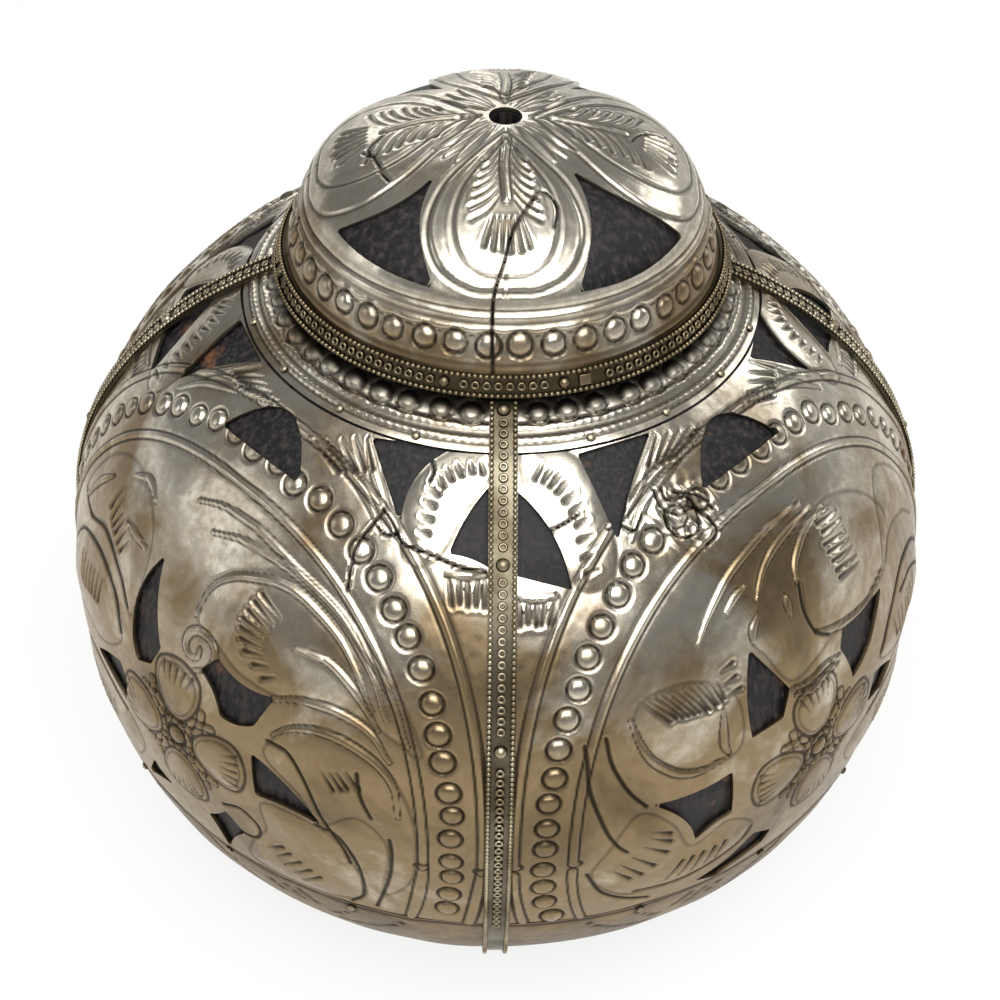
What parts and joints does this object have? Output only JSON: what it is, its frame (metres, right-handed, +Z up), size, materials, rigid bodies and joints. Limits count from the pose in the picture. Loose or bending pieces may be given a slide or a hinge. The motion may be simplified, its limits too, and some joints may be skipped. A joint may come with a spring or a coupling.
{
  "type": "lidded jar",
  "caption": "Squat round lidded jar of turned wood clad in pierced, embossed white-metal sheet with filigree seam strips and a domed lift-off lid.",
  "frame": {"origin": "centre of the flat that the jar stands on", "axes": "+Z up through the lid, -Y towards the front seam"},
  "size_m": [0.132, 0.132, 0.1166],
  "materials": {
    "stained_wood": "dark stain, satin",
    "white_metal": "hand-beaten white metal, polished on the high points, tarnished in the hollows",
    "tarnished_filigree": "tarnished white-metal wire"
  },
  "bodies": {
    "jar": {"body_core": "stained_wood", "base_bowl": "white_metal", "panel_front_left": "white_metal", "panel_front_right": "white_metal", "panel_back_right": "white_metal", "panel_back_left": "white_metal", "shoulder_collar": "white_metal", "seam_ribbon_front": "tarnished_filigree", "seam_ribbon_right": "tarnished_filigree", "seam_ribbon_back": "tarnished_filigree", "seam_ribbon_left": "tarnished_filigree", "seam_wires_front": "tarnished_filigree", "seam_wires_right": "tarnished_filigree", "seam_wires_back": "tarnished_filigree", "seam_wires_left": "tarnished_filigree", "seam_rings_front": "tarnished_filigree", "seam_rings_right": "tarnished_filigree", "seam_rings_back": "tarnished_filigree", "seam_rings_left": "tarnished_filigree", "strip_pins": "tarnished_filigree", "sheet_tacks": "tarnished_filigree"},
    "lid": {"lid_core": "stained_wood", "lid_sheet": "white_metal", "lid_edge_ribbon": "tarnished_filigree", "lid_edge_wires": "tarnished_filigree", "lid_edge_rings": "tarnished_filigree", "lid_edge_pins": "tarnished_filigree", "lid_edge_lap": "tarnished_filigree"}
  },
  "joints": [
    {"name": "lid_lift", "type": "slide", "parent": "jar", "child": "lid", "axis": [0, 0, 1], "range_m": [0, 0.06]}
  ]
}
